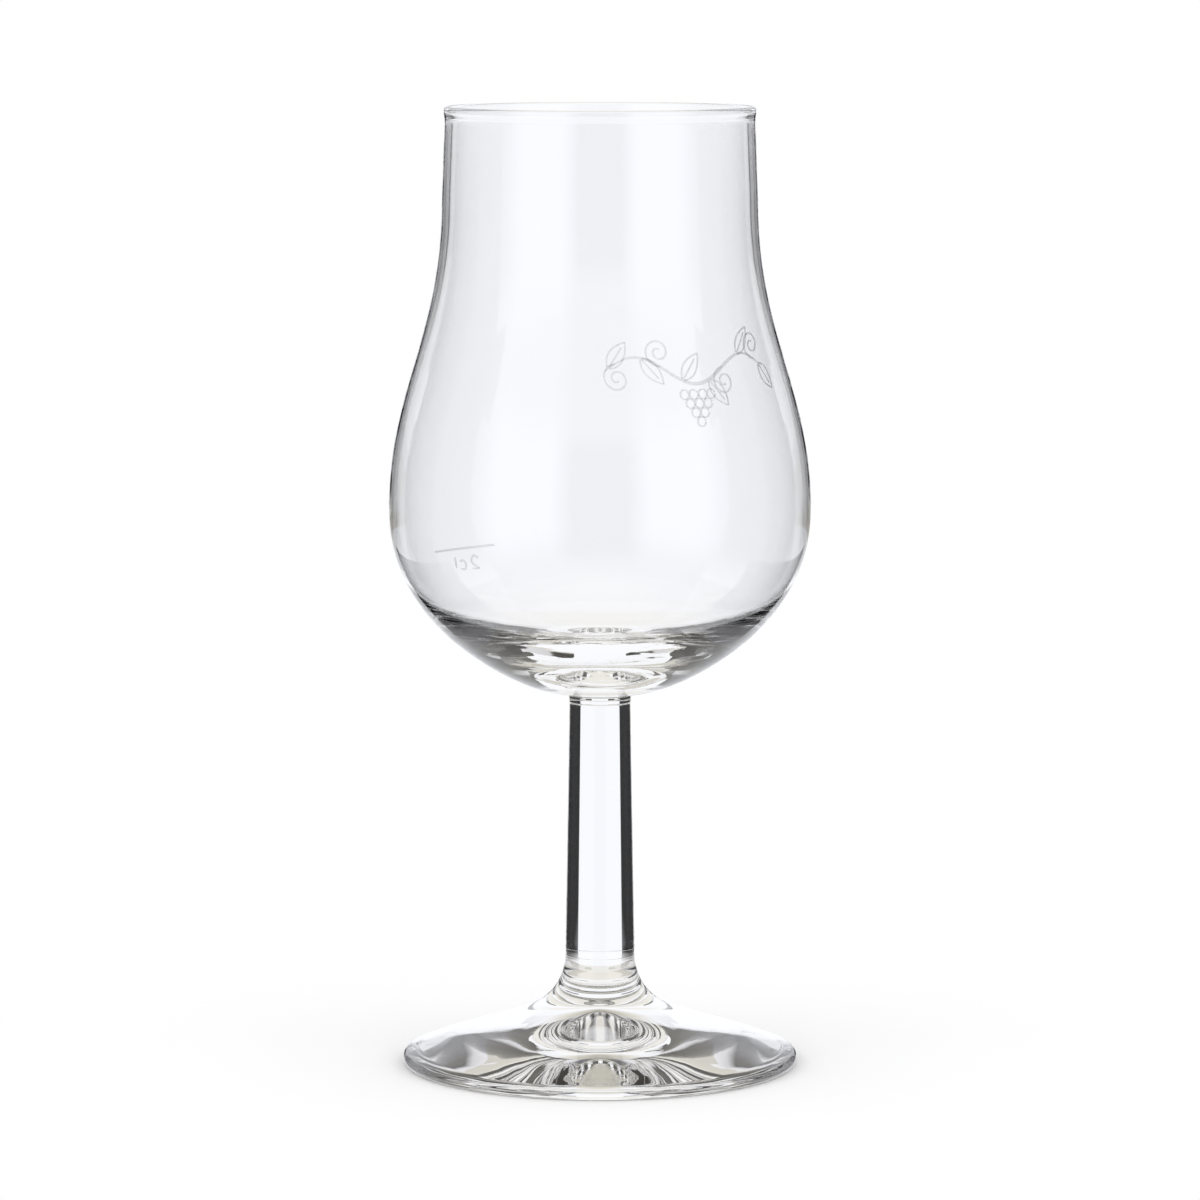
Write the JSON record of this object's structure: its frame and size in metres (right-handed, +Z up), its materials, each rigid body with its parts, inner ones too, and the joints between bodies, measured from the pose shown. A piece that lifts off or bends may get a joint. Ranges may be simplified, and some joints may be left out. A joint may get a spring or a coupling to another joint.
{
  "type": "cognac snifter",
  "caption": "Stemmed tulip-shaped tasting glass for cognac: thin round bowl with a nearly straight mouth and a heavy base, on a solid stem and a trumpet foot.",
  "frame": {"origin": "centre of the foot's resting ring, on the table", "axes": "+Z up along the glass's axis of revolution; the picture looks along +Y"},
  "size_m": [0.0574, 0.0574, 0.131],
  "materials": {
    "clear_glass": "fire-polished, clear"
  },
  "bodies": {
    "root": {"foot": "clear_glass", "stem": "clear_glass", "bowl": "clear_glass"}
  },
  "joints": []
}
